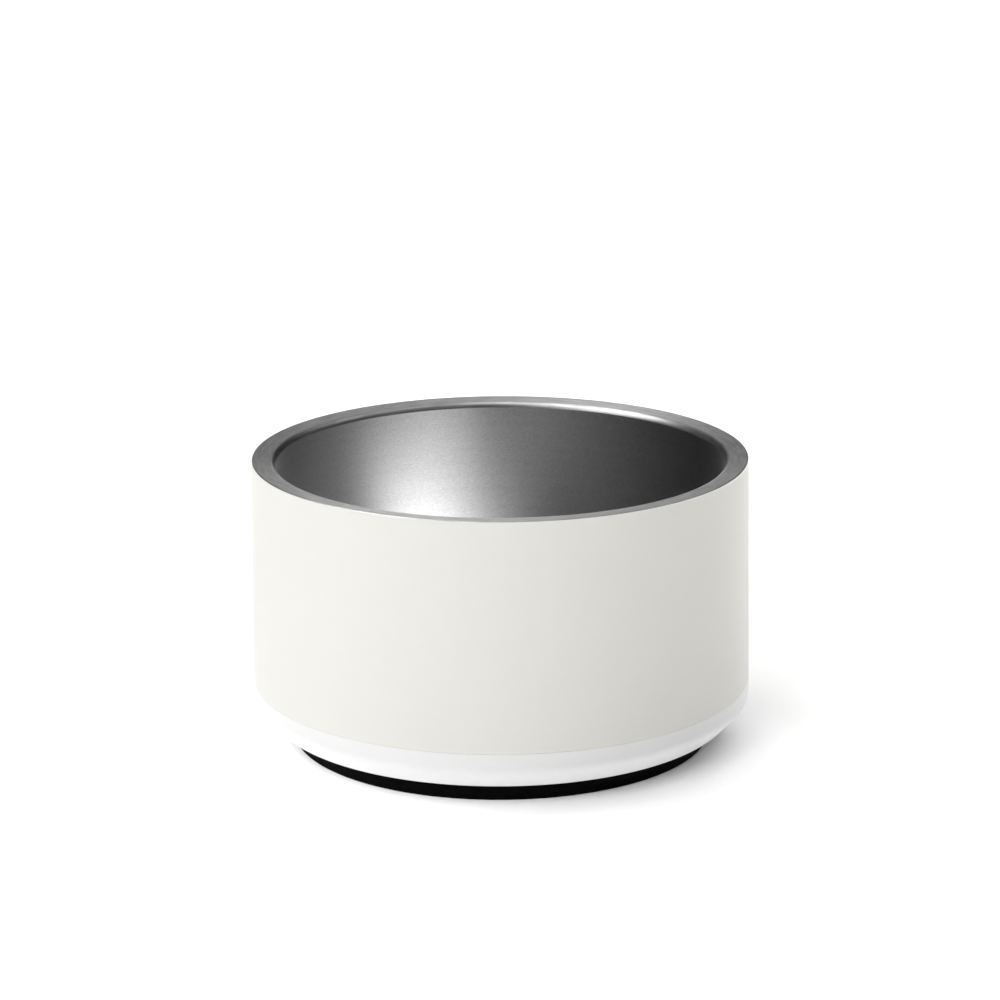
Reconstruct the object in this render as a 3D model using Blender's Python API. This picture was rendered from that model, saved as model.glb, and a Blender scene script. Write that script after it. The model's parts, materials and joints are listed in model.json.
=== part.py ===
"""Dog bowl: a double-wall steel bowl with a coated outside and a rubber foot ring, standing on z = 0.

Every piece is turned about the Z axis, and lengths are in metres. A profile is a list of (radius, height) points.
"""

import math

import bmesh
import bpy

# Overall form
HEIGHT = 0.09575  # floor to the crest of the rim
WALL_TOP_RADIUS = 0.0823  # outside of the coat at the rim
WALL_SPREAD = 0.0010  # how much wider the wall is where the lower corner starts
SHEET = 0.0008  # steel of the bowl and of the wall
CLEARANCE = 0.0003  # gap between pieces that touch
SEGMENTS = 60  # facets round every turned piece

# Rim and bowl
RIM_WIDTH = 0.0073  # outer edge of the rim in to the bowl's wall
RIM_SLOPE = math.radians(5.0)  # the rim falls inwards
RIM_FILLET = 0.0009  # outer edge of the rim
LIP_FILLET = 0.0019  # from the rim into the bowl
HEM = 0.0024  # depth of the rim's turned-down edge
FLOOR_GAP = 0.0036  # between the bowl's underside and the pan
BOWL_SQUARENESS = 2.0  # 2 is an ellipse, more is boxier
BOWL_STEPS = 12

# Coat round the wall
COAT = 0.0003
COAT_DROP = 0.00025  # bare steel above the coat

# Bottom pan
PAN_SHEET = 0.0009
PAN_WALL = 0.0041  # upright strip below the coat
PAN_LAP = 0.0060  # edge that stands inside the wall
CORNER_FILLET = 0.0053
CHAMFER_LENGTH = 0.0062
CHAMFER_ANGLE = math.radians(44.0)  # from upright
UNDER_FILLET = 0.0040
CHANNEL_DEPTH = 0.0020  # pressed seat of the foot ring
PORT_RADIUS = 0.0030
ARC_STEPS = 4

# Foot ring and its bond
FOOT_STAND = 0.0068  # floor to the pan's underside
FOOT_SETBACK = 0.0046  # from the end of the pan's lower fillet in to the foot
FOOT_WIDTH = 0.0160
FOOT_FILLET = 0.0008
GROOVES = 3
GROOVE_WIDTH = 0.0016
GROOVE_DEPTH = 0.0010
BOND = 0.0006
BOND_MARGIN = 0.0015  # from the foot's edges

# Port plug and the disc that covers it
PLUG_HEAD_RADIUS = 0.0048
PLUG_HEAD = 0.0009
PLUG_REACH = 0.0010  # past the pan's inner face
COVER_GAP = 0.0020  # from the foot ring's inner side
COVER_SHEET = 0.0006
COVER_RIM = 0.0090  # width of the flange that is bonded to the pan
COVER_DISH = 0.0022
COVER_SLANT = 0.0030  # width of the slope from the flange to the dished panel

# Heights and radii that follow
COAT_TOP_Z = HEIGHT - COAT_DROP
CORNER_DROP = (
    (CORNER_FILLET - UNDER_FILLET) * math.sin(CHAMFER_ANGLE)
    + CHAMFER_LENGTH * math.cos(CHAMFER_ANGLE)
    + UNDER_FILLET
)
CORNER_REACH = (
    CORNER_FILLET
    - (CORNER_FILLET - UNDER_FILLET) * math.cos(CHAMFER_ANGLE)
    + CHAMFER_LENGTH * math.sin(CHAMFER_ANGLE)
)
CORNER_Z = FOOT_STAND + CORNER_DROP
COAT_LOW_Z = CORNER_Z + PAN_WALL
LEDGE_Z = COAT_LOW_Z - CLEARANCE
UNDER_FLAT_RADIUS = WALL_TOP_RADIUS + WALL_SPREAD - CORNER_REACH
FOOT_RADIUS = UNDER_FLAT_RADIUS - FOOT_SETBACK
FOOT_INNER_RADIUS = FOOT_RADIUS - FOOT_WIDTH
CHANNEL_Z = FOOT_STAND + CHANNEL_DEPTH
CHANNEL_RADIUS = FOOT_RADIUS + CLEARANCE
BOND_TOP_Z = CHANNEL_Z - CLEARANCE
FOOT_TOP_Z = BOND_TOP_Z - BOND - CLEARANCE
RIM_RADIUS = WALL_TOP_RADIUS - COAT - CLEARANCE
BOWL_RADIUS = RIM_RADIUS - RIM_WIDTH
BOWL_FLOOR_Z = CHANNEL_Z + PAN_SHEET + FLOOR_GAP + SHEET


def wall_radius(z):
    """Outside of the coat at height z."""
    return WALL_TOP_RADIUS + WALL_SPREAD * (COAT_TOP_Z - z) / (COAT_TOP_Z - CORNER_Z)


def arc(centre, radius, start, end, steps=ARC_STEPS):
    """Points on a circle from angle start to angle end, in degrees from +radius towards +Z."""
    points = []
    for step in range(steps + 1):
        angle = math.radians(start + (end - start) * step / steps)
        points.append((centre[0] + radius * math.cos(angle), centre[1] + radius * math.sin(angle)))
    return points


def material(name, colour, roughness, metallic):
    made = bpy.data.materials.new(name)
    made.use_nodes = True
    shader = made.node_tree.nodes["Principled BSDF"]
    shader.inputs["Base Color"].default_value = (*colour, 1.0)
    shader.inputs["Roughness"].default_value = roughness
    shader.inputs["Metallic"].default_value = metallic
    return made


def turned(name, profile, finish, assembly):
    """A profile spun about Z. It either closes on itself, or starts and ends on the axis."""
    mesh = bpy.data.meshes.new(name)
    shape = bmesh.new()
    points = [shape.verts.new((radius, 0.0, z)) for radius, z in profile]
    edges = [shape.edges.new(pair) for pair in zip(points, points[1:])]
    if profile[0][0] > 0.0:
        edges.append(shape.edges.new((points[-1], points[0])))
    bmesh.ops.spin(
        shape, geom=points + edges, cent=(0.0, 0.0, 0.0), axis=(0.0, 0.0, 1.0), angle=math.tau, steps=SEGMENTS
    )
    bmesh.ops.remove_doubles(shape, verts=shape.verts, dist=1e-6)
    bmesh.ops.recalc_face_normals(shape, faces=shape.faces)
    shape.to_mesh(mesh)
    shape.free()
    mesh.shade_smooth()
    mesh.set_sharp_from_angle(angle=math.radians(35.0))
    mesh.materials.append(finish)
    piece = bpy.data.objects.new(name, mesh)
    piece.parent = assembly
    bpy.context.scene.collection.objects.link(piece)


def rim_height(radius):
    """Height of the sloping rim at a radius inside its outer fillet."""
    tangent_radius = RIM_RADIUS - RIM_FILLET - RIM_FILLET * math.sin(RIM_SLOPE)
    tangent_z = HEIGHT - RIM_FILLET + RIM_FILLET * math.cos(RIM_SLOPE)
    return tangent_z - (tangent_radius - radius) * math.tan(RIM_SLOPE)


def inner_bowl_profile():
    """Bowl and rim pressed from one sheet: up the inside, over the rim and back down the hidden side."""
    slope = math.degrees(RIM_SLOPE)
    lip_radius = BOWL_RADIUS + LIP_FILLET
    lip_z = rim_height(lip_radius - LIP_FILLET * math.sin(RIM_SLOPE)) - LIP_FILLET * math.cos(RIM_SLOPE)
    depth = lip_z - BOWL_FLOOR_Z
    inside = []
    hidden = []
    for step in range(BOWL_STEPS + 1):
        turn = math.pi / 2 * step / BOWL_STEPS
        across = math.cos(turn) ** (2 / BOWL_SQUARENESS) if step < BOWL_STEPS else 0.0
        down = math.sin(turn) ** (2 / BOWL_SQUARENESS)
        normal = (across ** (BOWL_SQUARENESS - 1) / BOWL_RADIUS, down ** (BOWL_SQUARENESS - 1) / depth)
        length = math.hypot(*normal)
        radius = BOWL_RADIUS * across
        z = lip_z - depth * down
        inside.append((radius, z))
        hidden.append((radius + SHEET * normal[0] / length, z - SHEET * normal[1] / length))
    lip = arc((lip_radius, lip_z), LIP_FILLET, 180.0, 90.0 + slope)
    crest = arc((RIM_RADIUS - RIM_FILLET, HEIGHT - RIM_FILLET), RIM_FILLET, 90.0 + slope, 0.0)
    hem_radius = RIM_RADIUS - SHEET
    hem = [
        (RIM_RADIUS, HEIGHT - HEM),
        (hem_radius, HEIGHT - HEM),
        (hem_radius, rim_height(hem_radius) - SHEET / math.cos(RIM_SLOPE)),
    ]
    under_lip = arc((lip_radius, lip_z), LIP_FILLET - SHEET, 90.0 + slope, 180.0)
    return inside[::-1] + lip[1:] + crest + hem + under_lip[:-1] + hidden


def outer_wall_profile():
    """Plain tube under the coat, from the pan's ledge up to the rim's hem."""
    top = HEIGHT - HEM - CLEARANCE
    inset = COAT + CLEARANCE
    return [
        (wall_radius(top) - inset, top),
        (wall_radius(COAT_LOW_Z) - inset, COAT_LOW_Z),
        (wall_radius(COAT_LOW_Z) - inset - SHEET, COAT_LOW_Z),
        (wall_radius(top) - inset - SHEET, top),
    ]


def colour_band_profile():
    return [
        (wall_radius(COAT_TOP_Z), COAT_TOP_Z),
        (wall_radius(COAT_LOW_Z), COAT_LOW_Z),
        (wall_radius(COAT_LOW_Z) - COAT, COAT_LOW_Z),
        (wall_radius(COAT_TOP_Z) - COAT, COAT_TOP_Z),
    ]


def corner_profile(inset):
    """The wall's turn into the underside, moved inwards by inset: fillet, straight chamfer, fillet."""
    chamfer = math.degrees(CHAMFER_ANGLE)
    upper_centre = (wall_radius(CORNER_Z) - CORNER_FILLET, CORNER_Z)
    lower_centre = (UNDER_FLAT_RADIUS, FOOT_STAND + UNDER_FILLET)
    return arc(upper_centre, CORNER_FILLET - inset, 0.0, -chamfer) + arc(
        lower_centre, UNDER_FILLET - inset, -chamfer, -90.0
    )


def bottom_pan_profile():
    """Pressed pan: lap inside the wall, ledge, upright strip, corner, foot channel and the port's edge."""
    lap_inset = COAT + 2 * CLEARANCE + SHEET
    lap_top = COAT_LOW_Z + PAN_LAP
    outside = [
        (wall_radius(lap_top) - lap_inset, lap_top),
        (wall_radius(LEDGE_Z) - lap_inset, LEDGE_Z),
        (wall_radius(LEDGE_Z), LEDGE_Z),
    ]
    channel = [
        (CHANNEL_RADIUS, FOOT_STAND),
        (CHANNEL_RADIUS, CHANNEL_Z),
        (PORT_RADIUS, CHANNEL_Z),
        (PORT_RADIUS, CHANNEL_Z + PAN_SHEET),
        (CHANNEL_RADIUS + PAN_SHEET, CHANNEL_Z + PAN_SHEET),
        (CHANNEL_RADIUS + PAN_SHEET, FOOT_STAND + PAN_SHEET),
    ]
    shoulder_z = LEDGE_Z - PAN_SHEET
    inside = [
        (wall_radius(shoulder_z) - PAN_SHEET, shoulder_z),
        (wall_radius(shoulder_z) - lap_inset - PAN_SHEET, shoulder_z),
        (wall_radius(lap_top) - lap_inset - PAN_SHEET, lap_top),
    ]
    return outside + corner_profile(0.0) + channel + corner_profile(PAN_SHEET)[::-1] + inside


def rubber_foot_profile():
    """Ring that stands in the pan's channel, with round treads cut in its underside."""
    outer = [(FOOT_RADIUS, FOOT_TOP_Z)] + arc((FOOT_RADIUS - FOOT_FILLET, FOOT_FILLET), FOOT_FILLET, 0.0, -90.0, 3)
    pitch = FOOT_WIDTH / (GROOVES + 1)
    tread = []
    for groove in range(1, GROOVES + 1):
        middle = FOOT_RADIUS - pitch * groove
        outer_edge = middle + GROOVE_WIDTH / 2
        inner_edge = middle - GROOVE_WIDTH / 2
        tread += [(outer_edge, 0.0), (outer_edge, GROOVE_DEPTH), (inner_edge, GROOVE_DEPTH), (inner_edge, 0.0)]
    inner = arc((FOOT_INNER_RADIUS + FOOT_FILLET, FOOT_FILLET), FOOT_FILLET, -90.0, -180.0, 3)
    return outer + tread + inner + [(FOOT_INNER_RADIUS, FOOT_TOP_Z)]


def foot_bond_profile():
    outer = FOOT_RADIUS - BOND_MARGIN
    inner = FOOT_INNER_RADIUS + BOND_MARGIN
    low = BOND_TOP_Z - BOND
    return [(outer, BOND_TOP_Z), (outer, low), (inner, low), (inner, BOND_TOP_Z)]


def port_plug_profile():
    """Rivet-like plug: head under the pan, shank through the port."""
    head_top = CHANNEL_Z - CLEARANCE
    shank = PORT_RADIUS - CLEARANCE
    shank_top = CHANNEL_Z + PAN_SHEET + PLUG_REACH
    return [
        (0.0, shank_top),
        (shank, shank_top),
        (shank, head_top),
        (PLUG_HEAD_RADIUS, head_top),
        (PLUG_HEAD_RADIUS, head_top - PLUG_HEAD),
        (0.0, head_top - PLUG_HEAD),
    ]


def cover_disc_profile():
    """Stamped disc: a flange against the pan, and a middle dished down to clear the plug."""
    radius = FOOT_INNER_RADIUS - COVER_GAP
    top = CHANNEL_Z - CLEARANCE
    flange_end = radius - COVER_RIM
    panel_end = flange_end - COVER_SLANT
    panel_top = top - COVER_DISH
    return [
        (0.0, panel_top),
        (panel_end, panel_top),
        (flange_end, top),
        (radius, top),
        (radius, top - COVER_SHEET),
        (flange_end, top - COVER_SHEET),
        (panel_end, panel_top - COVER_SHEET),
        (0.0, panel_top - COVER_SHEET),
    ]


def build():
    for old in list(bpy.data.objects):
        bpy.data.objects.remove(old)
    assembly = bpy.data.objects.new("dog_bowl", None)
    bpy.context.scene.collection.objects.link(assembly)

    brushed_steel = material("brushed_steel", (0.56, 0.56, 0.55), 0.32, 1.0)
    plain_steel = material("plain_steel", (0.50, 0.50, 0.49), 0.42, 1.0)
    off_white_coat = material("off_white_coat", (0.83, 0.82, 0.78), 0.55, 0.0)
    white_coat = material("white_coat", (0.88, 0.88, 0.88), 0.38, 0.0)
    black_rubber = material("black_rubber", (0.010, 0.010, 0.010), 0.80, 0.0)
    bond_film = material("bond_film", (0.10, 0.10, 0.10), 0.60, 0.0)
    plug_steel = material("plug_steel", (0.45, 0.45, 0.46), 0.35, 1.0)

    turned("inner_bowl", inner_bowl_profile(), brushed_steel, assembly)
    turned("outer_wall", outer_wall_profile(), plain_steel, assembly)
    turned("colour_band", colour_band_profile(), off_white_coat, assembly)
    turned("bottom_pan", bottom_pan_profile(), white_coat, assembly)
    turned("port_plug", port_plug_profile(), plug_steel, assembly)
    turned("cover_disc", cover_disc_profile(), plain_steel, assembly)
    turned("foot_bond", foot_bond_profile(), bond_film, assembly)
    turned("rubber_foot", rubber_foot_profile(), black_rubber, assembly)


build()
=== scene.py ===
"""Dog bowl: a double-wall steel bowl with a coated outside and a rubber foot ring, dressed and lit.

Lengths are in metres. Every piece is turned about the frame's Z axis and stands on z = 0.
"""

from collections import namedtuple
import json
import math

import bpy
from bpy.props import FloatProperty, FloatVectorProperty, IntProperty, PointerProperty
from mathutils import Matrix, Vector

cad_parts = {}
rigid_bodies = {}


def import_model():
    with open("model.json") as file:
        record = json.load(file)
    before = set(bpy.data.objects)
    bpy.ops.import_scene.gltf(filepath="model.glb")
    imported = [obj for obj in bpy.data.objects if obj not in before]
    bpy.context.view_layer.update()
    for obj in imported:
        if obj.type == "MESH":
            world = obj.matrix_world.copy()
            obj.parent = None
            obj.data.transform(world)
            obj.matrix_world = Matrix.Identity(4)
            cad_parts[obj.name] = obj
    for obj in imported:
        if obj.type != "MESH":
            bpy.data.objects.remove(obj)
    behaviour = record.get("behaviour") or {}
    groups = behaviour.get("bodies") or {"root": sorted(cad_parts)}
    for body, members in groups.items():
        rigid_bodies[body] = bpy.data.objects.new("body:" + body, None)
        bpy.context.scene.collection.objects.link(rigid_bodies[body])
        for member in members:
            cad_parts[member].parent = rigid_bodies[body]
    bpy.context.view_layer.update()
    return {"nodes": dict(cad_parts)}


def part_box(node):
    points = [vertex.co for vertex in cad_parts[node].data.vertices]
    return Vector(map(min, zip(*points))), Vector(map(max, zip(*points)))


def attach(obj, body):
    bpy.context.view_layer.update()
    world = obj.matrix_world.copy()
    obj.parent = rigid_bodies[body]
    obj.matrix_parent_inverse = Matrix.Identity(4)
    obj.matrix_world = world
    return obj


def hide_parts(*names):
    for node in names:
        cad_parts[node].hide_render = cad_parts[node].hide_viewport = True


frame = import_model()

bl_info = {
    "name": "Dog bowl",
    "version": (1, 0, 0),
    "blender": (4, 5, 0),
    "location": "View3D > Sidebar > Dog bowl",
    "description": "Turns the pieces of a double-wall dog bowl, finishes them and sets a studio stage",
    "category": "Object",
}

MM = 0.001
# Points of a profile that are closer than this count as one
SAME_POINT = 0.0001 * MM
# Vertices of a turned piece that are closer than this are sewn together
SEWN = 0.001 * MM
# Mesh attribute that holds the length along a piece's profile
RUN = "along"
# Sockets of a Mix node that mixes colours, which share their names with those that mix numbers
MIX_DARK = 6
MIX_LIGHT = 7
MIXED = 2

BOWL_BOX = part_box("inner_bowl")
BAND_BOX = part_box("colour_band")
PAN_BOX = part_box("bottom_pan")
FOOT_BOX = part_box("rubber_foot")
COVER_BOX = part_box("cover_disc")


def linear(code):
    """Linear RGBA of an sRGB hex colour such as #F0EFEA."""
    channels = [int(code[start : start + 2], 16) / 255 for start in (1, 3, 5)]
    return (*[c / 12.92 if c <= 0.04045 else ((c + 0.055) / 1.055) ** 2.4 for c in channels], 1.0)


def length(name, description, default):
    return FloatProperty(name=name, description=description, default=default, unit="LENGTH", precision=5)


def level(name, description):
    return FloatProperty(name=name, description=description, default=1.0)


def angle(name, description, degrees):
    return FloatProperty(
        name=name, description=description, default=math.radians(degrees), subtype="ANGLE", unit="ROTATION"
    )


def colour(name, description, code):
    return FloatVectorProperty(
        name=name, description=description, default=linear(code), size=4, min=0.0, max=1.0, subtype="COLOR"
    )


class TurningSettings(bpy.types.PropertyGroup):
    """How finely every piece is turned."""

    segments: IntProperty(name="Segments", description="Facets round a turned piece", default=288, min=24)
    spacing: length("Spacing", "Longest step along a straight stretch of a profile", 2.0 * MM)
    hold: length("Hold", "Short step at both ends of a straight stretch, for flat shading", 0.15 * MM)
    sharp: angle("Sharp", "Edges that turn further than this are shaded sharp", 32.0)


class SteelBowlSizes(bpy.types.PropertyGroup):
    """The pressed steel bowl with its wide rim."""

    crest_z: length("Crest height", "Floor to the crest of the rim", BOWL_BOX[1].z)
    bowl_radius: length("Bowl radius", "Inside of the bowl under the lip", BOWL_BOX[1].x - 7.3 * MM)
    rim_inset: length("Rim inset", "How far the bare rim stands inside the face of the coat", 0.3 * MM)
    rim_slope: angle("Rim slope", "Fall of the rim towards the bowl", 5.0)
    crest_fillet: length("Crest fillet", "Outer edge of the rim", 0.3 * MM)
    lip_fillet: length("Lip fillet", "Turn from the rim into the bowl", 1.9 * MM)
    hem: length("Hem", "Depth of the rim's turned-down edge", 2.4 * MM)
    sheet: length("Sheet", "Thickness of the steel", 0.8 * MM)
    squareness: FloatProperty(
        name="Squareness",
        description="Form of the bowl's section: 2 is an ellipse, more is boxier",
        default=2.0,
    )
    steps: IntProperty(name="Steps", description="Steps from the lip to the middle", default=72, min=8)


class WallCoatSizes(bpy.types.PropertyGroup):
    """The off-white coat round the wall."""

    top_radius: length("Top radius", "Face of the coat at the rim", BOWL_BOX[1].x + 0.6 * MM)
    low_radius: length("Low radius", "Face of the coat at the white strip", BAND_BOX[1].x)
    top_z: length("Top", "Upper edge of the coat", BAND_BOX[1].z)
    low_z: length("Bottom", "Lower edge of the coat", BAND_BOX[0].z)
    thickness: length("Thickness", "Thickness of the coat with its primer", 0.29 * MM)
    edge: length("Edge", "Round of the coat's upper and lower edges", 0.08 * MM)


class PanSizes(bpy.types.PropertyGroup):
    """The white pressed pan with its chamfered lower corner."""

    seam: length("Seam", "Line between the coat and the pan", 0.03 * MM)
    sheet: length("Sheet", "Thickness of the steel", 0.9 * MM)
    lap_inset: length("Lap inset", "Face of the strip in to the edge that stands inside the wall", 1.7 * MM)
    lap: length("Lap", "Height of the edge that stands inside the wall", 6.0 * MM)
    edge: length("Edge", "Round of the strip's upper edge", 0.1 * MM)
    corner_fillet: length("Corner fillet", "Turn from the strip into the chamfer", 5.3 * MM)
    chamfer_length: length("Chamfer length", "Straight part of the chamfer", 6.2 * MM)
    chamfer_angle: angle("Chamfer angle", "Chamfer from upright", 44.0)
    under_fillet: length("Under fillet", "Turn from the chamfer into the underside", 4.0 * MM)
    channel_depth: length("Channel depth", "Pressed seat of the foot ring", 2.0 * MM)
    channel_fillet: length("Channel fillet", "Bends at the mouth and the root of the channel", 0.6 * MM)
    channel_gap: length("Channel gap", "Side of the foot ring to the side of the channel", 0.3 * MM)
    port_radius: length("Port radius", "Hole behind the plug", 3.0 * MM)


class FootRingSizes(bpy.types.PropertyGroup):
    """The rubber foot ring."""

    radius: length("Radius", "Outside of the ring", FOOT_BOX[1].x)
    width: length("Width", "Outside of the ring to its inside", 16.0 * MM)
    top_z: length("Top", "Floor to the ring's bonded face", FOOT_BOX[1].z)
    fillet: length("Fillet", "Round of the ring's lower edges", 0.8 * MM)
    grooves: IntProperty(name="Grooves", description="Round treads in the underside", default=3, min=0)
    groove_width: length("Groove width", "Width of a tread groove", 1.6 * MM)
    groove_depth: length("Groove depth", "Depth of a tread groove", 1.0 * MM)
    groove_round: length("Groove round", "Round of a tread's edges and root", 0.25 * MM)


class CoverSizes(bpy.types.PropertyGroup):
    """The stamped disc under the bowl."""

    radius: length("Radius", "Edge of the disc", COVER_BOX[1].x)
    top_z: length("Top", "Face of the flange against the pan", COVER_BOX[1].z)
    panel_z: length("Panel", "Lower face of the dished panel", COVER_BOX[0].z)
    sheet: length("Sheet", "Thickness of the steel", 0.6 * MM)
    flange: length("Flange", "Width of the flange", 9.0 * MM)
    slant: length("Slant", "Width of the slope from the flange to the panel", 3.0 * MM)
    bend: length("Bend", "Lower radius of both bends", 1.6 * MM)
    edge: length("Edge", "Round of the disc's edge", 0.2 * MM)


class FinishColours(bpy.types.PropertyGroup):
    """Colours of the finishes. A pair is the darker and the lighter end of a finish."""

    steel_dark: colour("Steel dark", "Hollows of the brush lines", "#7A7A7A")
    steel_light: colour("Steel light", "Ridges of the brush lines", "#AEAEAE")
    off_white_dark: colour("Off-white dark", "Powder coat where it lies thin", "#E7E6E0")
    off_white_light: colour("Off-white light", "Powder coat where it lies thick", "#EBEAE5")
    white_dark: colour("White dark", "White coat where it lies thin", "#EEEEEE")
    white_light: colour("White light", "White coat where it lies thick", "#F3F3F3")
    rubber_dark: colour("Rubber dark", "Rubber in the pores", "#050505")
    rubber_light: colour("Rubber light", "Rubber rubbed by the mould", "#0B0B0B")
    film: colour("Bond film", "Adhesive film", "#3A3936")
    floor: colour("Floor", "Seamless paper", "#F4F4F4")
    surround: colour("Surround", "Studio behind the paper", "#FFFFFF")


class StageSettings(bpy.types.PropertyGroup):
    """Camera, floor and lights."""

    distance: length("Distance", "Camera to the bowl's axis, over the floor", 1.0705)
    side: length("Side", "Camera to the right of the bowl's axis", -0.1 * MM)
    height: length("Height", "Camera over the floor", 0.3755)
    pitch: angle("Pitch", "Camera's tilt downwards", 15.43)
    roll: angle("Roll", "Camera's tilt to the right", 0.30)
    focal_mm: FloatProperty(name="Lens", description="Focal length in millimetres", default=120.26)
    sensor_mm: FloatProperty(name="Sensor", description="Sensor width in millimetres", default=36.0)
    floor_side: length("Floor side", "Side of the square floor", 12.0)
    paper_level: level("Paper level", "Strength of the lights on the floor, 1 as they are listed")
    coat_level: level("Coat level", "Strength of the lights on the coats, 1 as they are listed")
    bowl_level: level("Bowl level", "Strength of the lights in the steel bowl, 1 as they are listed")
    rim_level: level("Rim level", "Strength of the lights on the steel rim, 1 as they are listed")


class DogBowlSettings(bpy.types.PropertyGroup):
    """Everything that a user would change."""

    turning: PointerProperty(type=TurningSettings)
    steel_bowl: PointerProperty(type=SteelBowlSizes)
    wall_coat: PointerProperty(type=WallCoatSizes)
    pan: PointerProperty(type=PanSizes)
    foot_ring: PointerProperty(type=FootRingSizes)
    cover: PointerProperty(type=CoverSizes)
    colours: PointerProperty(type=FinishColours)
    stage: PointerProperty(type=StageSettings)


# Azimuth 0 is the camera's side and turns to the right, elevation is over the floor, and spread is how wide
# the bowl sees the light, all in degrees. Strength is in watts per square metre. Each light shines on one
# group of pieces: the paper, the steel bowl, the steel rim, or the coats with everything else.
SoftLight = namedtuple("SoftLight", "name lights azimuth elevation spread strength")
LIGHTS = (
    SoftLight("paper_front_left", "paper", -45, 25, 60, 2.7),
    SoftLight("paper_left", "paper", -105, 40, 60, 2.3),
    SoftLight("paper_back", "paper", 180, 20, 50, 2.6),
    SoftLight("paper_back_right", "paper", 135, 45, 50, 1.0),
    SoftLight("paper_front", "paper", -14, 22, 60, 2.4),
    SoftLight("coat_key", "coat", -50, 45, 50, 1.65),
    SoftLight("coat_edge", "coat", 150, 25, 40, 2.0),
    SoftLight("coat_top", "coat", 0, 88, 10, 2.0),
    SoftLight("bowl_right", "bowl", 85, 65, 40, 5.2),
    SoftLight("bowl_front_right", "bowl", 60, 40, 34, 1.1),
    SoftLight("bowl_low_right", "bowl", 30, 15, 34, 1.0),
    SoftLight("bowl_top", "bowl", 25, 65, 40, 0.9),
    SoftLight("bowl_fill", "bowl", -10, 15, 40, 0.2),
    SoftLight("bowl_back", "bowl", 180, 35, 50, 1.4),
    SoftLight("rim_left", "rim", -62, 42, 66, 2.8),
    SoftLight("rim_low_left", "rim", -60, 8, 34, 0.4),
    SoftLight("rim_back_left", "rim", -140, 65, 40, 0.8),
    SoftLight("rim_lip", "rim", -97, 54, 30, 1.6),
    SoftLight("rim_back", "rim", 180, 30, 14, 0.1),
    SoftLight("rim_horizon", "rim", 180, 2, 12, 0.11),
    SoftLight("rim_back_right", "rim", 115, 55, 50, 0.7),
    SoftLight("rim_front_right", "rim", 45, 10, 60, 0.3),
    SoftLight("rim_top", "rim", 0, 80, 34, 0.8),
)
LIT_BY = {"floor": "paper", "steel_bowl": "bowl", "steel_rim": "rim"}


def add(tree, kind, inputs=None, **settings):
    """Adds a node. Settings are its properties; inputs are values or sockets, by name or number."""
    node = tree.nodes.new(kind)
    for name, value in settings.items():
        setattr(node, name, value)
    for key, value in (inputs or {}).items():
        if isinstance(value, bpy.types.NodeSocket):
            tree.links.new(value, node.inputs[key])
        else:
            node.inputs[key].default_value = value
    return node


# Profiles: lists of (radius, height) points that run up the outside of a piece and down its inside


def arc(centre, radius, start, end, steps=10):
    """Points on a circle from angle start to angle end, in degrees from +radius towards +Z."""
    points = []
    for step in range(steps + 1):
        turn = math.radians(start + (end - start) * step / steps)
        points.append((centre[0] + radius * math.cos(turn), centre[1] + radius * math.sin(turn)))
    return points


def rounded(before, corner, after, radius, steps=6):
    """Points on the arc that rounds a corner between two straight stretches."""
    corner = Vector(corner)
    back = (Vector(before) - corner).normalized()
    ahead = (Vector(after) - corner).normalized()
    half = back.angle(ahead) / 2
    reach = radius / math.tan(half)
    centre = corner + (back + ahead).normalized() * radius / math.sin(half)
    start = corner + back * reach - centre
    sweep = start.angle_signed(corner + ahead * reach - centre)
    return [tuple(centre + Matrix.Rotation(-sweep * step / steps, 2) @ start) for step in range(steps + 1)]


def chained(points, turning, closed):
    """The points in order, with repeats left out and long stretches cut into short steps."""
    ends = points + points[:1] if closed else points
    chain = [ends[0]]
    for end in ends[1:]:
        start = chain[-1]
        run = math.dist(start, end)
        if run < SAME_POINT:
            continue
        if run > turning.spacing:
            inner = run - 2 * turning.hold
            count = math.ceil(inner / turning.spacing)
            stops = [turning.hold + inner * step / count for step in range(count + 1)]
            chain += [tuple(Vector(start).lerp(Vector(end), stop / run)) for stop in stops]
        chain.append(end)
    return chain


def wall_radius(coat, z):
    """Face of the coat, and of the white strip that carries it on, at height z."""
    fall = (coat.top_z - z) / (coat.top_z - coat.low_z)
    return coat.top_radius + (coat.low_radius - coat.top_radius) * fall


def steel_rim_profile(bowl, coat):
    """Out along the hidden side of the rim, round the hem, in over the crest and down the lip."""
    slope = math.degrees(bowl.rim_slope)
    rise = math.tan(bowl.rim_slope)
    rim_radius = coat.top_radius - bowl.rim_inset
    crest_centre = (rim_radius - bowl.crest_fillet, bowl.crest_z - bowl.crest_fillet)
    crest = arc(crest_centre, bowl.crest_fillet, 0.0, 90.0 + slope)
    rim_end = crest[-1]
    lip_radius = bowl.bowl_radius + bowl.lip_fillet
    lip_start = lip_radius - bowl.lip_fillet * math.sin(bowl.rim_slope)
    lip_z = rim_end[1] - (rim_end[0] - lip_start) * rise - bowl.lip_fillet * math.cos(bowl.rim_slope)
    lip = arc((lip_radius, lip_z), bowl.lip_fillet, 90.0 + slope, 180.0, steps=14)
    under_lip = arc((lip_radius, lip_z), bowl.lip_fillet - bowl.sheet, 180.0, 90.0 + slope)
    hem_radius = rim_radius - bowl.sheet
    hem_top = rim_end[1] - (rim_end[0] - hem_radius) * rise - bowl.sheet / math.cos(bowl.rim_slope)
    hem_low = bowl.crest_z - bowl.hem
    hem = [(hem_radius, hem_top), (hem_radius, hem_low), (rim_radius, hem_low)]
    return under_lip + hem + crest + lip


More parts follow.
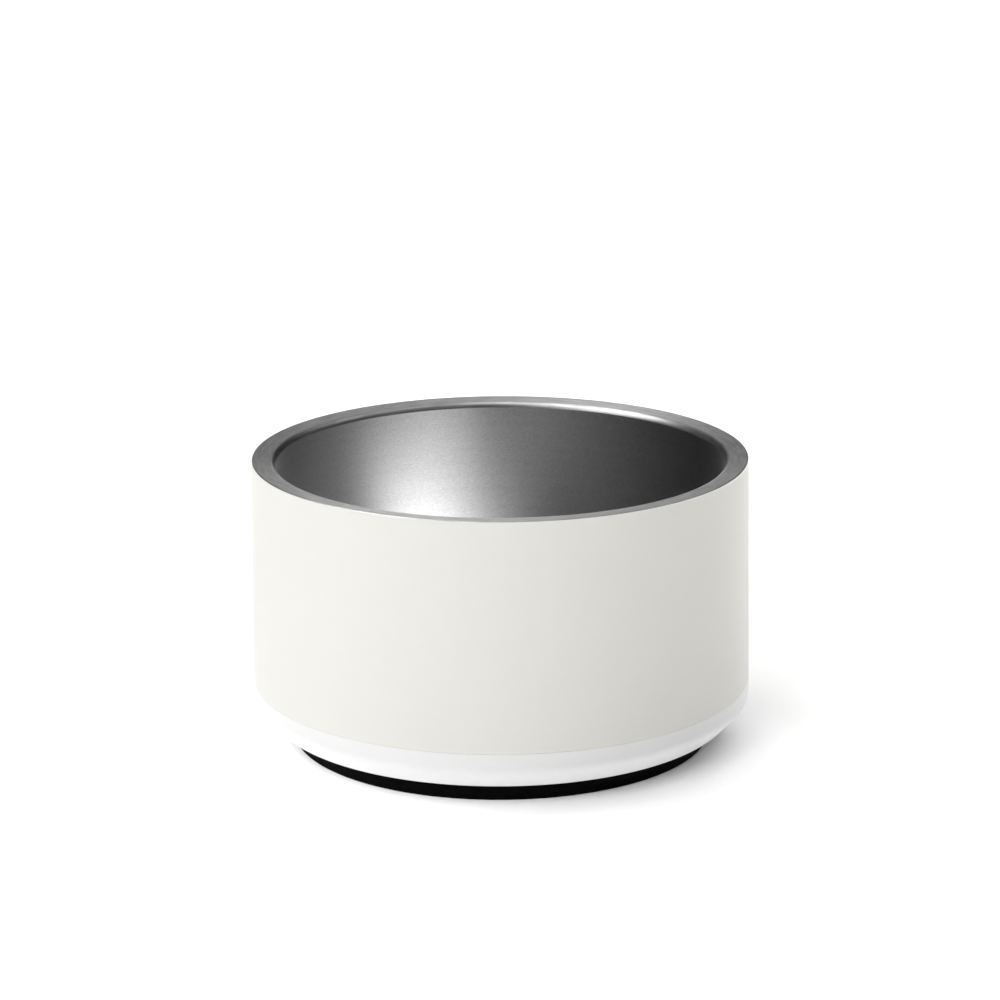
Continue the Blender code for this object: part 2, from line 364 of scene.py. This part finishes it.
def steel_bowl_profile(bowl, lip_z):
    """From the hidden middle of the underside out and up to the lip, and down into the bowl."""
    floor_z = BOWL_BOX[0].z + bowl.sheet
    depth = lip_z - floor_z
    power = bowl.squareness - 1
    inside = []
    hidden = []
    for step in range(bowl.steps):
        turn = math.pi / 2 * step / bowl.steps
        across = math.cos(turn) ** (2 / bowl.squareness)
        down = math.sin(turn) ** (2 / bowl.squareness)
        normal = Vector((across**power / bowl.bowl_radius, down**power / depth)).normalized()
        radius = bowl.bowl_radius * across
        z = lip_z - depth * down
        inside.append((radius, z))
        hidden.append((radius + bowl.sheet * normal.x, z - bowl.sheet * normal.y))
    inside.append((0.0, floor_z))
    hidden.append((0.0, floor_z - bowl.sheet))
    return hidden[::-1] + inside


def wall_coat_profile(coat):
    """Down the inner face, out under the lower edge, up the visible face and in over the upper edge."""
    top_inner = (coat.top_radius - coat.thickness, coat.top_z)
    low_inner = (coat.low_radius - coat.thickness, coat.low_z)
    low_outer = (coat.low_radius, coat.low_z)
    top_outer = (coat.top_radius, coat.top_z)
    lower_edge = rounded(low_inner, low_outer, top_outer, coat.edge)
    upper_edge = rounded(low_outer, top_outer, top_inner, coat.edge)
    return [top_inner, low_inner] + lower_edge + upper_edge


def pan_profile(pan, coat, foot):
    """From the port out along the underside, up the corner, the strip and the lap, and back inside."""
    ledge_z = coat.low_z - pan.seam
    under_z = PAN_BOX[0].z
    chamfer = math.degrees(pan.chamfer_angle)
    sine = math.sin(pan.chamfer_angle)
    cosine = math.cos(pan.chamfer_angle)
    spread = pan.corner_fillet - pan.under_fillet
    drop = spread * sine + pan.chamfer_length * cosine + pan.under_fillet
    reach = pan.corner_fillet - spread * cosine + pan.chamfer_length * sine
    corner_z = under_z + drop
    strip_radius = wall_radius(coat, corner_z)
    upper_centre = (strip_radius - pan.corner_fillet, corner_z)
    lower_centre = (strip_radius - reach, under_z + pan.under_fillet)

    def corner(inset):
        upward = arc(lower_centre, pan.under_fillet - inset, -90.0, -chamfer)
        return upward + arc(upper_centre, pan.corner_fillet - inset, -chamfer, 0.0)

    channel_radius = foot.radius + pan.channel_gap
    channel_z = under_z + pan.channel_depth
    port_low = (pan.port_radius, channel_z)
    root = (channel_radius, channel_z)
    mouth = (channel_radius, under_z)
    flat_end = (lower_centre[0], under_z)
    channel = rounded(port_low, root, mouth, pan.channel_fillet)
    channel += rounded(root, mouth, flat_end, pan.channel_fillet)

    ledge_outer = (wall_radius(coat, ledge_z), ledge_z)
    ledge_inner = (wall_radius(coat, ledge_z) - pan.lap_inset, ledge_z)
    lap_z = ledge_z + pan.lap
    lap_outer = (wall_radius(coat, lap_z) - pan.lap_inset, lap_z)
    strip = rounded((strip_radius, corner_z), ledge_outer, ledge_inner, pan.edge)

    shoulder_z = ledge_z - pan.sheet
    shoulder = wall_radius(coat, shoulder_z)
    hidden = [
        ledge_inner,
        lap_outer,
        (lap_outer[0] - pan.sheet, lap_z),
        (shoulder - pan.lap_inset - pan.sheet, shoulder_z),
        (shoulder - pan.sheet, shoulder_z),
    ]
    hidden += corner(pan.sheet)[::-1]
    hidden += [
        (channel_radius + pan.sheet, under_z + pan.sheet),
        (channel_radius + pan.sheet, channel_z + pan.sheet),
        (pan.port_radius, channel_z + pan.sheet),
    ]
    return [port_low] + channel + corner(0.0) + strip + hidden


def foot_ring_profile(foot):
    """In along the bonded face, down the inner side, out over the treads and up the outer side."""
    inner_radius = foot.radius - foot.width
    inner_top = (inner_radius, foot.top_z)
    inner_low = (inner_radius, 0.0)
    outer_low = (foot.radius, 0.0)
    outer_top = (foot.radius, foot.top_z)
    tread = []
    pitch = foot.width / (foot.grooves + 1)
    land = pitch / 4
    for groove in range(1, foot.grooves + 1):
        middle = inner_radius + pitch * groove
        low = middle - foot.groove_width / 2
        high = middle + foot.groove_width / 2
        corners = [(low - land, 0.0), (low, 0.0), (low, foot.groove_depth)]
        corners += [(high, foot.groove_depth), (high, 0.0), (high + land, 0.0)]
        for before, corner, after in zip(corners, corners[1:], corners[2:]):
            tread += rounded(before, corner, after, foot.groove_round, steps=5)
    inner_edge = rounded(inner_top, inner_low, outer_low, foot.fillet, steps=10)
    outer_edge = rounded(inner_low, outer_low, outer_top, foot.fillet, steps=10)
    return [outer_top, inner_top] + inner_edge + tread + outer_edge


def cover_profile(cover):
    """From the middle of the dished panel out to the edge, and back along the hidden face."""
    flange_end = cover.radius - cover.flange
    panel_end = flange_end - cover.slant
    flange_z = cover.top_z - cover.sheet

    def face(lift, bend_at_panel, bend_at_flange):
        ends = [(0.0, cover.panel_z + lift), (panel_end, cover.panel_z + lift)]
        ends += [(flange_end, flange_z + lift), (cover.radius, flange_z + lift)]
        return ends[:1] + rounded(*ends[:3], bend_at_panel) + rounded(*ends[1:], bend_at_flange) + ends[3:]

    lower = face(0.0, cover.bend + cover.sheet, cover.bend)
    upper = face(cover.sheet, cover.bend, cover.bend + cover.sheet)
    low_edge = rounded(lower[-2], lower[-1], upper[-1], cover.edge)
    high_edge = rounded(lower[-1], upper[-1], upper[-2], cover.edge)
    return lower[:-1] + low_edge + high_edge + upper[-2::-1]


def turning_tree():
    """Geometry Nodes tree that turns a profile, a chain of points at y = 0, about the Z axis."""
    tree = bpy.data.node_groups.new("Turned piece", "GeometryNodeTree")
    sockets = tree.interface
    sockets.new_socket("Profile", in_out="INPUT", socket_type="NodeSocketGeometry")
    sockets.new_socket("Segments", in_out="INPUT", socket_type="NodeSocketInt")
    sockets.new_socket("Merge distance", in_out="INPUT", socket_type="NodeSocketFloat")
    sockets.new_socket("Finish", in_out="INPUT", socket_type="NodeSocketMaterial")
    sockets.new_socket("Piece", in_out="OUTPUT", socket_type="NodeSocketGeometry")

    given = add(tree, "NodeGroupInput").outputs
    profile = given["Profile"]
    rows = add(tree, "GeometryNodeAttributeDomainSize", {"Geometry": profile}).outputs["Point Count"]
    columns = add(tree, "FunctionNodeIntegerMath", {0: given["Segments"], 1: 1}, operation="ADD").outputs[0]
    grid = add(tree, "GeometryNodeMeshGrid", {"Vertices X": columns, "Vertices Y": rows}).outputs["Mesh"]
    index = add(tree, "GeometryNodeInputIndex").outputs[0]
    row = add(tree, "FunctionNodeIntegerMath", {0: index, 1: rows}, operation="MODULO").outputs[0]
    column = add(tree, "FunctionNodeIntegerMath", {0: index, 1: rows}, operation="DIVIDE_FLOOR").outputs[0]
    share = add(tree, "ShaderNodeMath", {0: column, 1: given["Segments"]}, operation="DIVIDE").outputs[0]
    turn = add(tree, "ShaderNodeMath", {0: share, 1: math.tau}, operation="MULTIPLY").outputs[0]

    position = add(tree, "GeometryNodeInputPosition").outputs[0]
    point = add(
        tree,
        "GeometryNodeSampleIndex",
        {"Geometry": profile, "Value": position, "Index": row},
        data_type="FLOAT_VECTOR",
    ).outputs["Value"]
    stored = add(tree, "GeometryNodeInputNamedAttribute", {"Name": RUN}, data_type="FLOAT")
    run = stored.outputs["Attribute"]
    along = add(
        tree,
        "GeometryNodeSampleIndex",
        {"Geometry": profile, "Value": run, "Index": row},
        data_type="FLOAT",
    ).outputs["Value"]
    turned = add(
        tree,
        "ShaderNodeVectorRotate",
        {"Vector": point, "Angle": turn},
        rotation_type="Z_AXIS",
    ).outputs[0]

    placed = add(tree, "GeometryNodeSetPosition", {"Geometry": grid, "Position": turned}).outputs[0]
    marked = add(
        tree, "GeometryNodeStoreNamedAttribute", {"Geometry": placed, "Name": RUN, "Value": along}
    ).outputs[0]
    sewn = add(
        tree, "GeometryNodeMergeByDistance", {"Geometry": marked, "Distance": given["Merge distance"]}
    ).outputs[0]
    smooth = add(tree, "GeometryNodeSetShadeSmooth", {"Geometry": sewn, "Shade Smooth": True}).outputs[0]
    real = add(tree, "GeometryNodeRealizeInstances", {"Geometry": smooth}).outputs[0]
    finished = add(
        tree, "GeometryNodeSetMaterial", {"Geometry": real, "Material": given["Finish"]}
    ).outputs[0]
    add(tree, "NodeGroupOutput", {"Piece": finished})
    return tree


def turned_piece(name, points, finish, closed):
    """A piece turned from its profile, as a plain mesh that carries the length along the profile."""
    turning = bpy.context.scene.dog_bowl.turning
    chain = chained(points, turning, closed)
    profile = bpy.data.meshes.new(name + "_profile")
    stops = [(radius, 0.0, z) for radius, z in chain]
    steps = [(start, start + 1) for start in range(len(chain) - 1)]
    profile.from_pydata(stops, steps, [])
    runs = [0.0]
    for start, end in zip(chain, chain[1:]):
        runs.append(runs[-1] + math.dist(start, end))
    profile.attributes.new(RUN, "FLOAT", "POINT").data.foreach_set("value", runs)

    piece = bpy.data.objects.new(name, profile)
    bpy.context.scene.collection.objects.link(piece)
    tree = bpy.data.node_groups.get("Turned piece") or turning_tree()
    modifier = piece.modifiers.new("Turned piece", "NODES")
    modifier.node_group = tree
    inputs = {"Segments": turning.segments, "Merge distance": SEWN, "Finish": finish}
    for socket in tree.interface.items_tree:
        if socket.name in inputs:
            modifier[socket.identifier] = inputs[socket.name]

    depsgraph = bpy.context.evaluated_depsgraph_get()
    mesh = bpy.data.meshes.new_from_object(piece.evaluated_get(depsgraph), depsgraph=depsgraph)
    if not mesh.polygons:
        raise RuntimeError(f"{name} has no faces")
    piece.modifiers.remove(modifier)
    piece.data = mesh
    mesh.name = name
    mesh.set_sharp_from_angle(angle=turning.sharp)
    bpy.data.meshes.remove(profile)
    return piece


def seat(piece, node):
    """Puts a piece in the frame in place of its CAD node."""
    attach(piece, "root")
    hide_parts(node)


# Finishes


def new_finish(name):
    """A material with its node tree and its shader."""
    finish = bpy.data.materials.new(name)
    finish.use_nodes = True
    return finish, finish.node_tree, finish.node_tree.nodes["Principled BSDF"]


def brushed_stainless_steel(name, colours, hairline, stroke, contrast, roughness, drawn):
    """Stainless sheet brushed while it spins: hairlines run round the axis and draw out each reflection.

    Real hairlines are about 0.05 mm apart, which is too fine to show here, so they are drawn coarser.
    """
    finish, tree, shader = new_finish(name)
    place = add(tree, "ShaderNodeTexCoord").outputs["Object"]
    across = add(tree, "ShaderNodeSeparateXYZ", {0: place}).outputs
    along = add(tree, "ShaderNodeAttribute", attribute_name=RUN).outputs["Fac"]

    strokes = add(tree, "ShaderNodeMath", {0: along, 1: 1 / hairline}, operation="MULTIPLY").outputs[0]
    east = add(tree, "ShaderNodeMath", {0: across["X"], 1: 1 / stroke}, operation="MULTIPLY").outputs[0]
    north = add(tree, "ShaderNodeMath", {0: across["Y"], 1: 1 / stroke}, operation="MULTIPLY").outputs[0]
    brushed = add(tree, "ShaderNodeCombineXYZ", {0: east, 1: north, 2: strokes}).outputs[0]
    worn = add(tree, "ShaderNodeTexNoise", {"Vector": brushed, "Scale": 1.0, "Detail": 3.0}).outputs["Fac"]
    deepened = {"Value": worn, "From Min": 0.5 - 0.5 / contrast, "From Max": 0.5 + 0.5 / contrast}
    hairlines = add(tree, "ShaderNodeMapRange", deepened).outputs[0]

    # The tool chatters a little, which leaves wide faint rings
    ring = 3.5 * MM
    rings = add(tree, "ShaderNodeMath", {0: along, 1: 1 / ring}, operation="MULTIPLY").outputs[0]
    chatter = {"W": rings, "Scale": 1.0}
    ringed = add(tree, "ShaderNodeTexNoise", chatter, noise_dimensions="1D").outputs["Fac"]
    tone = add(
        tree, "ShaderNodeMix", {"Factor": 0.1, "A": hairlines, "B": ringed}, data_type="FLOAT"
    ).outputs["Result"]

    tones = {"Factor": tone, MIX_DARK: colours.steel_dark, MIX_LIGHT: colours.steel_light}
    metal = add(tree, "ShaderNodeMix", tones, data_type="RGBA")
    tree.links.new(metal.outputs[MIXED], shader.inputs["Base Color"])
    uneven = 0.02
    satin = {"Value": tone, "To Min": roughness + uneven, "To Max": roughness - uneven}
    gloss = add(tree, "ShaderNodeMapRange", satin).outputs[0]
    tree.links.new(gloss, shader.inputs["Roughness"])
    relief = add(tree, "ShaderNodeBump", {"Height": hairlines, "Strength": 0.12, "Distance": 0.02 * MM})
    tree.links.new(relief.outputs[0], shader.inputs["Normal"])
    tangent = add(tree, "ShaderNodeTangent", direction_type="RADIAL", axis="Z").outputs[0]
    tree.links.new(tangent, shader.inputs["Tangent"])
    shader.inputs["Metallic"].default_value = 1.0
    shader.inputs["Anisotropic"].default_value = drawn
    shader.inputs["Anisotropic Rotation"].default_value = 0.25
    return finish


def coat_finish(name, dark, light, grain, roughness, shine, strength):
    """A sprayed coat: cells of flow-out, orange peel, give a soft uneven gloss and a hint of tone."""
    finish, tree, shader = new_finish(name)
    place = add(tree, "ShaderNodeTexCoord").outputs["Object"]
    cells = {"Vector": place, "Scale": 1 / grain, "Detail": 2.0}
    peel = add(tree, "ShaderNodeTexNoise", cells).outputs["Fac"]
    patch = 40 * grain
    cloud = add(tree, "ShaderNodeTexNoise", {"Vector": place, "Scale": 1 / patch}).outputs["Fac"]
    tone = add(
        tree, "ShaderNodeMix", {"Factor": 0.5, "A": peel, "B": cloud}, data_type="FLOAT"
    ).outputs["Result"]
    tones = {"Factor": tone, MIX_DARK: dark, MIX_LIGHT: light}
    paint = add(tree, "ShaderNodeMix", tones, data_type="RGBA")
    tree.links.new(paint.outputs[MIXED], shader.inputs["Base Color"])
    uneven = 0.04
    satin = {"Value": peel, "To Min": roughness - uneven, "To Max": roughness + uneven}
    gloss = add(tree, "ShaderNodeMapRange", satin).outputs[0]
    tree.links.new(gloss, shader.inputs["Roughness"])
    relief = add(tree, "ShaderNodeBump", {"Height": peel, "Strength": strength, "Distance": 0.05 * MM})
    tree.links.new(relief.outputs[0], shader.inputs["Normal"])
    shader.inputs["Specular IOR Level"].default_value = shine
    return finish


def moulded_rubber(colours):
    """Black rubber from a spark-eroded mould: a fine matte grain with a few rubbed spots."""
    finish, tree, shader = new_finish("Moulded black rubber")
    place = add(tree, "ShaderNodeTexCoord").outputs["Object"]
    grain = 0.5 * MM
    specks = {"Vector": place, "Scale": 1 / grain, "Detail": 4.0}
    pores = add(tree, "ShaderNodeTexNoise", specks).outputs["Fac"]
    tones = {"Factor": pores, MIX_DARK: colours.rubber_dark, MIX_LIGHT: colours.rubber_light}
    rubber = add(tree, "ShaderNodeMix", tones, data_type="RGBA")
    tree.links.new(rubber.outputs[MIXED], shader.inputs["Base Color"])
    gloss = add(tree, "ShaderNodeMapRange", {"Value": pores, "To Min": 0.9, "To Max": 0.7}).outputs[0]
    tree.links.new(gloss, shader.inputs["Roughness"])
    relief = add(tree, "ShaderNodeBump", {"Height": pores, "Strength": 0.3, "Distance": 0.08 * MM})
    tree.links.new(relief.outputs[0], shader.inputs["Normal"])
    shader.inputs["Specular IOR Level"].default_value = 0.05
    return finish


def rolled_steel(name, colours, grain):
    """Plain mill-rolled sheet: a soft grey gloss with faint roll streaks along one direction."""
    finish, tree, shader = new_finish(name)
    place = add(tree, "ShaderNodeTexCoord").outputs["Object"]
    streak = 60 * grain
    stretch = {"Vector": place, "Scale": (1 / streak, 1 / grain, 1 / grain)}
    rolled = add(tree, "ShaderNodeMapping", stretch).outputs[0]
    lines = {"Vector": rolled, "Scale": 1.0, "Detail": 3.0}
    streaks = add(tree, "ShaderNodeTexNoise", lines).outputs["Fac"]
    tones = {"Factor": streaks, MIX_DARK: colours.steel_dark, MIX_LIGHT: colours.steel_light}
    metal = add(tree, "ShaderNodeMix", tones, data_type="RGBA")
    tree.links.new(metal.outputs[MIXED], shader.inputs["Base Color"])
    gloss = add(tree, "ShaderNodeMapRange", {"Value": streaks, "To Min": 0.45, "To Max": 0.32}).outputs[0]
    tree.links.new(gloss, shader.inputs["Roughness"])
    relief = add(tree, "ShaderNodeBump", {"Height": streaks, "Strength": 0.1, "Distance": 0.02 * MM})
    tree.links.new(relief.outputs[0], shader.inputs["Normal"])
    shader.inputs["Metallic"].default_value = 1.0
    return finish


def bond_film(colours):
    """Dark adhesive film: slightly glossy, with fine bubbles."""
    finish, tree, shader = new_finish("Adhesive film")
    place = add(tree, "ShaderNodeTexCoord").outputs["Object"]
    bubble = 0.8 * MM
    cells = add(tree, "ShaderNodeTexVoronoi", {"Vector": place, "Scale": 1 / bubble}).outputs["Distance"]
    gloss = add(tree, "ShaderNodeMapRange", {"Value": cells, "To Min": 0.35, "To Max": 0.6}).outputs[0]
    tree.links.new(gloss, shader.inputs["Roughness"])
    relief = add(tree, "ShaderNodeBump", {"Height": cells, "Strength": 0.2, "Distance": 0.05 * MM})
    tree.links.new(relief.outputs[0], shader.inputs["Normal"])
    shader.inputs["Base Color"].default_value = colours.film
    return finish


def seamless_paper(colours):
    """Matte white paper with a barely visible felt grain."""
    finish, tree, shader = new_finish("Seamless paper")
    place = add(tree, "ShaderNodeTexCoord").outputs["Object"]
    felt = 2 * MM
    grain = add(tree, "ShaderNodeTexNoise", {"Vector": place, "Scale": 1 / felt}).outputs["Fac"]
    gloss = add(tree, "ShaderNodeMapRange", {"Value": grain, "To Min": 0.85, "To Max": 0.95}).outputs[0]
    tree.links.new(gloss, shader.inputs["Roughness"])
    shader.inputs["Base Color"].default_value = colours.floor
    shader.inputs["Specular IOR Level"].default_value = 0.1
    return finish


# Pieces


class DOGBOWL_OT_steel_bowl(bpy.types.Operator):
    """Turns the brushed steel bowl and its wide buffed rim"""

    bl_idname = "dog_bowl.steel_bowl"
    bl_label = "Steel bowl"

    def execute(self, context):
        given = context.scene.dog_bowl
        rim_points = steel_rim_profile(given.steel_bowl, given.wall_coat)
        buffed = brushed_stainless_steel(
            "Buffed stainless steel",
            given.colours,
            hairline=0.7 * MM,
            stroke=8.0 * MM,
            contrast=1.5,
            roughness=0.42,
            drawn=0.65,
        )
        rim = turned_piece("steel_rim", rim_points, buffed, closed=True)
        bowl_points = steel_bowl_profile(given.steel_bowl, rim_points[-1][1])
        brushed = brushed_stainless_steel(
            "Brushed stainless steel",
            given.colours,
            hairline=0.25 * MM,
            stroke=0.9 * MM,
            contrast=1.0,
            roughness=0.50,
            drawn=0.8,
        )
        bowl = turned_piece("steel_bowl", bowl_points, brushed, closed=False)
        for piece in (rim, bowl):
            seat(piece, "inner_bowl")
        return {"FINISHED"}


class DOGBOWL_OT_wall_coat(bpy.types.Operator):
    """Turns the off-white coat round the wall"""

    bl_idname = "dog_bowl.wall_coat"
    bl_label = "Wall coat"

    def execute(self, context):
        given = context.scene.dog_bowl
        finish = coat_finish(
            "Satin off-white powder coat",
            given.colours.off_white_dark,
            given.colours.off_white_light,
            grain=0.9 * MM,
            roughness=0.55,
            shine=0.5,
            strength=0.15,
        )
        piece = turned_piece("wall_coat", wall_coat_profile(given.wall_coat), finish, closed=True)
        seat(piece, "colour_band")
        return {"FINISHED"}


class DOGBOWL_OT_bottom_pan(bpy.types.Operator):
    """Turns the white pan with its chamfered corner"""

    bl_idname = "dog_bowl.bottom_pan"
    bl_label = "Bottom pan"

    def execute(self, context):
        given = context.scene.dog_bowl
        finish = coat_finish(
            "Semi-gloss white coat",
            given.colours.white_dark,
            given.colours.white_light,
            grain=1.2 * MM,
            roughness=0.32,
            shine=0.2,
            strength=0.08,
        )
        points = pan_profile(given.pan, given.wall_coat, given.foot_ring)
        piece = turned_piece("white_pan", points, finish, closed=True)
        seat(piece, "bottom_pan")
        return {"FINISHED"}


class DOGBOWL_OT_foot_ring(bpy.types.Operator):
    """Turns the black rubber foot ring with its treads"""

    bl_idname = "dog_bowl.foot_ring"
    bl_label = "Foot ring"

    def execute(self, context):
        given = context.scene.dog_bowl
        piece = turned_piece(
            "foot_ring", foot_ring_profile(given.foot_ring), moulded_rubber(given.colours), closed=True
        )
        seat(piece, "rubber_foot")
        return {"FINISHED"}


class DOGBOWL_OT_underside(bpy.types.Operator):
    """Turns the cover disc and finishes the pieces that stay as they are in the frame"""

    bl_idname = "dog_bowl.underside"
    bl_label = "Underside"

    def execute(self, context):
        given = context.scene.dog_bowl
        sheet = rolled_steel("Rolled stainless sheet", given.colours, grain=0.4 * MM)
        piece = turned_piece("cover_plate", cover_profile(given.cover), sheet, closed=False)
        seat(piece, "cover_disc")
        finishes = {
            "outer_wall": sheet,
            "port_plug": rolled_steel("Drawn plug steel", given.colours, grain=0.2 * MM),
            "foot_bond": bond_film(given.colours),
        }
        for node, finish in finishes.items():
            kept = frame["nodes"][node]
            kept.data.materials.clear()
            kept.data.materials.append(finish)
        return {"FINISHED"}


def soft_light(scene, light, share, lit):
    """A distant soft box that shines on some of the pieces only, as behind a photographer's flags."""
    lamp = bpy.data.lights.new(light.name, "SUN")
    lamp.energy = light.strength * share
    lamp.angle = math.radians(light.spread)
    box = bpy.data.objects.new(light.name, lamp)
    azimuth = math.radians(light.azimuth)
    elevation = math.radians(light.elevation)
    ahead = Vector((math.sin(azimuth), -math.cos(azimuth), math.tan(elevation)))
    box.rotation_euler = ahead.to_track_quat("Z", "Y").to_euler()
    box.light_linking.receiver_collection = lit
    scene.collection.objects.link(box)


class DOGBOWL_OT_stage(bpy.types.Operator):
    """Sets the floor, the lights and the camera"""

    bl_idname = "dog_bowl.stage"
    bl_label = "Stage"

    def execute(self, context):
        scene = context.scene
        given = scene.dog_bowl.stage
        half = given.floor_side / 2
        paper = bpy.data.meshes.new("floor")
        corners = [(-half, -half, 0), (half, -half, 0), (half, half, 0), (-half, half, 0)]
        paper.from_pydata(corners, [], [(0, 1, 2, 3)])
        paper.materials.append(seamless_paper(scene.dog_bowl.colours))
        floor = bpy.data.objects.new("floor", paper)
        scene.collection.objects.link(floor)

        kinds = ("paper", "coat", "bowl", "rim")
        lit = {kind: bpy.data.collections.new("Lit as " + kind) for kind in kinds}
        for thing in scene.objects:
            if thing.type == "MESH":
                lit[LIT_BY.get(thing.name, "coat")].objects.link(thing)
        for light in LIGHTS:
            soft_light(scene, light, getattr(given, light.lights + "_level"), lit[light.lights])

        # The camera sees the surround behind the paper, but only the lights above shine on the bowl
        world = bpy.data.worlds.new("Studio")
        world.use_nodes = True
        background = world.node_tree.nodes["Background"]
        background.inputs["Color"].default_value = scene.dog_bowl.colours.surround
        seen = add(world.node_tree, "ShaderNodeLightPath").outputs["Is Camera Ray"]
        world.node_tree.links.new(seen, background.inputs["Strength"])
        scene.world = world

        lens = bpy.data.cameras.new("camera")
        lens.sensor_width = given.sensor_mm
        lens.lens = given.focal_mm
        camera = bpy.data.objects.new("camera", lens)
        scene.collection.objects.link(camera)
        tilt = Matrix.Rotation(math.pi / 2 - given.pitch, 4, "X") @ Matrix.Rotation(-given.roll, 4, "Z")
        camera.matrix_world = Matrix.Translation((given.side, -given.distance, given.height)) @ tilt
        scene.camera = camera
        scene.view_settings.view_transform = "Standard"
        return {"FINISHED"}


class DOGBOWL_PT_sidebar(bpy.types.Panel):
    """Sizes, colours and steps of the dog bowl"""

    bl_label = "Dog bowl"
    bl_idname = "DOGBOWL_PT_sidebar"
    bl_space_type = "VIEW_3D"
    bl_region_type = "UI"
    bl_category = "Dog bowl"

    def draw(self, context):
        given = context.scene.dog_bowl
        for step in STEPS:
            self.layout.operator(step.bl_idname)
        for group_name in DogBowlSettings.__annotations__:
            group = getattr(given, group_name)
            box = self.layout.box()
            box.label(text=group_name.replace("_", " ").capitalize())
            for value_name in group.__annotations__:
                box.prop(group, value_name)


GROUPS = (
    TurningSettings,
    SteelBowlSizes,
    WallCoatSizes,
    PanSizes,
    FootRingSizes,
    CoverSizes,
    FinishColours,
    StageSettings,
    DogBowlSettings,
)
STEPS = (
    DOGBOWL_OT_steel_bowl,
    DOGBOWL_OT_wall_coat,
    DOGBOWL_OT_bottom_pan,
    DOGBOWL_OT_foot_ring,
    DOGBOWL_OT_underside,
    DOGBOWL_OT_stage,
)
CLASSES = (*GROUPS, *STEPS, DOGBOWL_PT_sidebar)


def register():
    for part in CLASSES:
        bpy.utils.register_class(part)
    bpy.types.Scene.dog_bowl = PointerProperty(type=DogBowlSettings)


def unregister():
    del bpy.types.Scene.dog_bowl
    for part in reversed(CLASSES):
        bpy.utils.unregister_class(part)


def main():
    register()
    bpy.ops.dog_bowl.steel_bowl()
    bpy.ops.dog_bowl.wall_coat()
    bpy.ops.dog_bowl.bottom_pan()
    bpy.ops.dog_bowl.foot_ring()
    bpy.ops.dog_bowl.underside()
    bpy.ops.dog_bowl.stage()


if __name__ == "__main__":
    main()
